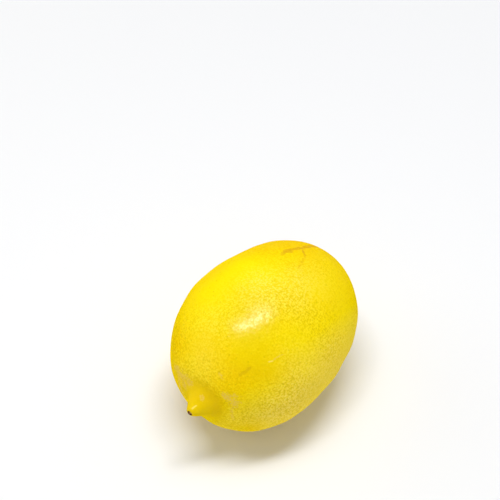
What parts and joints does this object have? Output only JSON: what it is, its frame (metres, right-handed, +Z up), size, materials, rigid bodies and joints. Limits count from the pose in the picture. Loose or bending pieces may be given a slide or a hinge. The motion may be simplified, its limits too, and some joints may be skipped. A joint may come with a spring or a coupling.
{
  "type": "lemon",
  "caption": "Whole ripe lemon lying on its side: egg-shaped fruit with a nipple at the blossom end and a dry star-shaped button at the stem end.",
  "frame": {"origin": "on the surface that the fruit lies on, under the middle of its bounding box", "axes": "+Z up, long axis along Y, the nipple points to -Y and the stem end to +Y"},
  "size_m": [0.0594, 0.0874, 0.0586],
  "materials": {
    "rind": "waxy yellow peel, satin, covered in fine dimples",
    "dry_stem": "dry, matte, grey-green turning brown"
  },
  "bodies": {
    "root": {"fruit": "rind", "stem_button": "dry_stem"}
  },
  "joints": []
}
